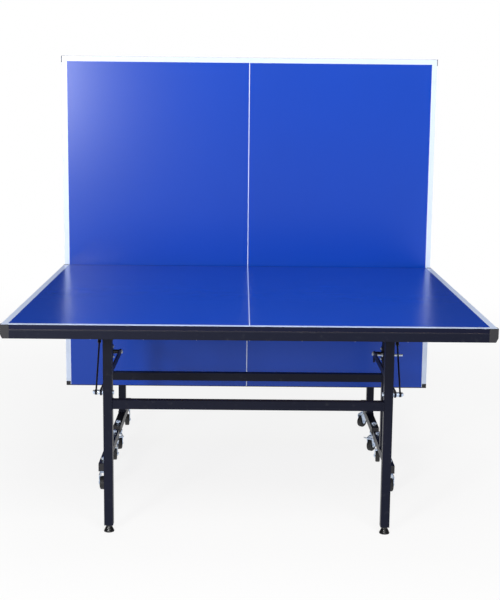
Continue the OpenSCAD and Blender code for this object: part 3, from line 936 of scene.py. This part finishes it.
class TABLE_OT_add_screws(bpy.types.Operator):
    """Screw the aprons and the stay tracks to the boards"""

    bl_idname = "table.add_screws"
    bl_label = "Add the screws"

    def execute(self, context):
        sizes = context.scene.table_sizes
        tree = scatter_tree()
        head, tab = screw_head_part(), tab_part()
        for half in HALVES:
            place = board_place(half)
            turn = place.to_3x3()
            down = turn @ Vector((0, 0, -1))
            tabs = self.tab_places(half, sizes.screw_pitch)
            heads = self.apron_places(half, sizes.screw_pitch)
            heads += [(x + side * TAB_WIDTH * 0.55, y, z - TAB_THICK) for (x, y, z), side in tabs]

            screws = points_piece(half + "_board_screws", [(place @ Vector(p), down) for p in heads])
            values = {
                "Part": head, "Width": sizes.screw_head, "Height": SCREW_HEIGHT, "Spin": math.pi,
                "Seed": 7, "Material": finish_of("zinc_plate"),
            }
            bake(screws, tree, values, half + "_top")

            plates = points_piece(half + "_track_tabs", [(place @ Vector(p), down) for p, _ in tabs])
            for item, (_, side) in zip(plates.data.attributes["turn"].data, tabs):
                out = turn @ Vector((side, 0, 0))
                item.vector = Matrix((out.cross(down), out, down)).transposed().to_euler()
            values = {
                "Part": tab, "Width": TAB_WIDTH, "Height": TAB_THICK, "Spin": 0.0, "Seed": 1,
                "Material": finish_of("navy_coat"),
            }
            bake(plates, tree, values, half + "_top")
        bpy.data.objects.remove(head)
        bpy.data.objects.remove(tab)
        return {"FINISHED"}

    def row(self, start, stop, pitch):
        """Evenly spaced places from start to stop, about a pitch apart."""
        count = max(2, round(abs(stop - start) / pitch) + 1)
        return [start + (stop - start) * i / (count - 1) for i in range(count)]

    def apron_places(self, half, pitch):
        """Places of the screws along the side and the end aprons, in board coordinates."""
        width, length, _ = board_size(half)
        depth, inset = apron_depth(half), APRON_SCREW_INSET
        rows = self.row(SIDE_RUN[0], length - SIDE_RUN[1], pitch)
        places = [(x, y, -depth) for x in (inset - width / 2, width / 2 - inset) for y in rows]
        rows = self.row(END_RUN - width / 2, width / 2 - END_RUN, pitch)
        return places + [(x, y, -depth) for y in (inset, length - inset) for x in rows]

    def tab_places(self, half, pitch):
        """Places of the fixing tabs beside the stay tracks, each with the side to which it points."""
        into = board_place(half).inverted()
        low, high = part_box(half + "_stay_tracks")
        first, last = sorted((into @ corner).y for corner in (low, high))
        outer = high.x
        inner = outer - TRACK_WIDTH
        tabs = []
        for y in self.row(first + TAB_RUN, last - TAB_RUN, pitch)[::2]:
            for side in SIDES:
                tabs += [((side * outer, y, 0), side), ((side * inner, y, 0), -side)]
        return tabs


class TABLE_OT_add_boss_bolts(bpy.types.Operator):
    """Bolt the link bosses to the uprights"""

    bl_idname = "table.add_boss_bolts"
    bl_label = "Add the boss bolts"

    def execute(self, context):
        tree = scatter_tree()
        head = hex_head_part()
        values = {
            "Part": head, "Width": BOSS_BOLT_WIDTH, "Height": BOSS_BOLT_HEIGHT, "Spin": math.pi,
            "Seed": 3, "Material": finish_of("zinc_plate"),
        }
        for half in HALVES:
            boss = Vector(JOINTS[half + "_tie_turn"]["pos_m"])
            low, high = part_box(half + "_uprights")
            tube = high.y - low.y
            face = high.x - tube - BOSS_PLATE
            places = [
                (Vector((side * face, boss.y, boss.z + rise)), (-side, 0, 0))
                for side in SIDES for rise in (-BOSS_BOLT_RISE, BOSS_BOLT_RISE)
            ]
            bolts = points_piece(half + "_boss_bolts", places)
            bake(bolts, tree, values, half + "_chassis")
        bpy.data.objects.remove(head)
        return {"FINISHED"}


class TABLE_OT_add_hubs(bpy.types.Operator):
    """Set the ribbed cores into both faces of every castor wheel"""

    bl_idname = "table.add_hubs"
    bl_label = "Add the wheel cores"

    def execute(self, context):
        tree = hub_tree()
        for half in HALVES:
            for corner in CORNERS:
                joint = JOINTS[f"{half}_spin_{corner}"]
                centre, axle = Vector(joint["pos_m"]), Vector(joint["axis"]).normalized()
                low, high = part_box(f"{half}_wheel_{corner}")
                radius = (high.z - low.z) / 2
                face = radius * WHEEL_FACE - CORE_SUNK
                places = [(centre + axle * side * face, axle * side) for side in SIDES]
                core = points_piece(f"{half}_wheel_core_{corner}", places)
                values = {
                    "Inner": radius * CORE_INNER, "Outer": radius * CORE_OUTER,
                    "Wall": CORE_WALL, "Depth": CORE_DEPTH,
                    "Ribs": context.scene.table_sizes.hub_ribs, "Material": finish_of("hub_plastic"),
                }
                bake(core, tree, values, f"{half}_roller_{corner}")
        return {"FINISHED"}


class TABLE_OT_set_studio(bpy.types.Operator):
    """Lay the pale floor, hang the soft lights and stand the camera"""

    bl_idname = "table.set_studio"
    bl_label = "Set the studio"

    def execute(self, context):
        scene = context.scene
        studio = scene.table_studio
        self.floor(scene.table_colours.floor, studio.floor_glow)
        self.surround(scene, studio.daylight, studio.shade)
        for name, size, place, target in SOFT_BOXES:
            self.light(name + "_light", getattr(studio, name), size, place, target)
        self.camera(scene, studio)
        scene.view_settings.view_transform = "Standard"
        scene.view_settings.look = "None"
        return {"FINISHED"}

    def floor(self, colour, glow):
        """A floor that fades into the white surround away from the table."""
        ground = new_piece("floor", mesh_from(
            lambda shape: bmesh.ops.create_circle(shape, cap_ends=True, radius=60, segments=96), "floor"
        ))
        shade = Shade("studio_floor")
        shade.set(Base_Color=tuple(colour), Roughness=0.6, Specular_IOR_Level=0.2)
        distance = shade.wire(
            "ShaderNodeVectorMath", {"operation": "LENGTH"}, {0: shade.object}, output="Value"
        )
        white = shade.node("ShaderNodeEmission", None, {"Color": (1, 1, 1, 1), "Strength": 1.0})
        share = glow + shade.band(distance, 1.2, 5.0) * (1 - glow)
        blend = shade.node("ShaderNodeMixShader", None, {"Fac": share})
        links = shade.tree.links
        links.new(shade.shader.outputs[0], blend.inputs[1])
        links.new(white.outputs[0], blend.inputs[2])
        links.new(blend.outputs[0], shade.tree.nodes["Material Output"].inputs[0])
        ground.data.materials.append(shade.material)

    def surround(self, scene, strength, shade):
        """White to look at, softer as a light, and dim low behind the table."""
        world = bpy.data.worlds.new("studio_surround")
        world.use_nodes = True
        tree = Tree(world.node_tree)
        seen = tree.wire("ShaderNodeLightPath", output="Is Camera Ray")
        direction = tree.wire("ShaderNodeTexCoord", output="Generated")
        aim = tree.node("ShaderNodeSeparateXYZ", None, {0: direction})
        behind = (Wire(tree, aim.outputs["Y"]) > 0.1) * (Wire(tree, aim.outputs["Z"]) < 0.5)
        lit = strength - behind * (strength - shade)
        back = world.node_tree.nodes["Background"]
        back.inputs["Color"].default_value = (1, 1, 1, 1)
        world.node_tree.links.new((lit + seen * (1 - lit)).socket, back.inputs["Strength"])
        scene.world = world

    def light(self, name, power, size, place, target):
        """A soft box, its width and height in size, that faces its target."""
        data = bpy.data.lights.new(name, "AREA")
        data.energy, data.shape = power, "RECTANGLE"
        data.size, data.size_y = size
        lamp = bpy.data.objects.new(name, data)
        bpy.context.scene.collection.objects.link(lamp)
        lamp.location = place
        lamp.rotation_euler = (Vector(target) - Vector(place)).to_track_quat("-Z", "Y").to_euler()

    def camera(self, scene, studio):
        """The camera from its yaw, pitch and roll."""
        yaw, pitch, roll = studio.yaw, studio.pitch, studio.roll
        ahead = Vector((
            math.sin(yaw) * math.cos(pitch), math.cos(yaw) * math.cos(pitch), -math.sin(pitch)
        ))
        right = Vector((math.cos(yaw), -math.sin(yaw), 0))
        down = ahead.cross(right)
        across = right * math.cos(roll) + down * math.sin(roll)
        below = down * math.cos(roll) - right * math.sin(roll)
        data = bpy.data.cameras.new("camera")
        data.lens, data.clip_start, data.clip_end = studio.lens, 0.05, 200
        camera = bpy.data.objects.new("camera", data)
        scene.collection.objects.link(camera)
        camera.matrix_world = Matrix.Translation(studio.camera_place) @ Matrix(
            (across, -below, -ahead)
        ).transposed().to_4x4()
        scene.camera = camera


OPERATORS = (
    TABLE_OT_paint_boards,
    TABLE_OT_coat_frame,
    TABLE_OT_finish_fittings,
    TABLE_OT_add_welds,
    TABLE_OT_add_screws,
    TABLE_OT_add_boss_bolts,
    TABLE_OT_add_hubs,
    TABLE_OT_set_studio,
)


class TABLE_PT_looks(bpy.types.Panel):
    """Lists the steps that give the table its looks"""

    bl_label = "Table tennis table"
    bl_idname = "TABLE_PT_looks"
    bl_space_type = "VIEW_3D"
    bl_region_type = "UI"
    bl_category = "Table"

    def draw(self, context):
        for step in OPERATORS:
            self.layout.operator(step.bl_idname)
        for group in ("table_colours", "table_sizes", "table_studio"):
            settings = getattr(context.scene, group)
            box = self.layout.box()
            for name in settings.__annotations__:
                box.prop(settings, name)


CLASSES = (TableColours, TableSizes, StudioSettings, *OPERATORS, TABLE_PT_looks)


def register():
    for made in CLASSES:
        bpy.utils.register_class(made)
    bpy.types.Scene.table_colours = PointerProperty(type=TableColours)
    bpy.types.Scene.table_sizes = PointerProperty(type=TableSizes)
    bpy.types.Scene.table_studio = PointerProperty(type=StudioSettings)


def unregister():
    for name in ("table_colours", "table_sizes", "table_studio"):
        delattr(bpy.types.Scene, name)
    for made in reversed(CLASSES):
        bpy.utils.unregister_class(made)


def main():
    register()
    for step in OPERATORS:
        space, name = step.bl_idname.split(".")
        getattr(getattr(bpy.ops, space), name)()


if __name__ == "__main__":
    main()
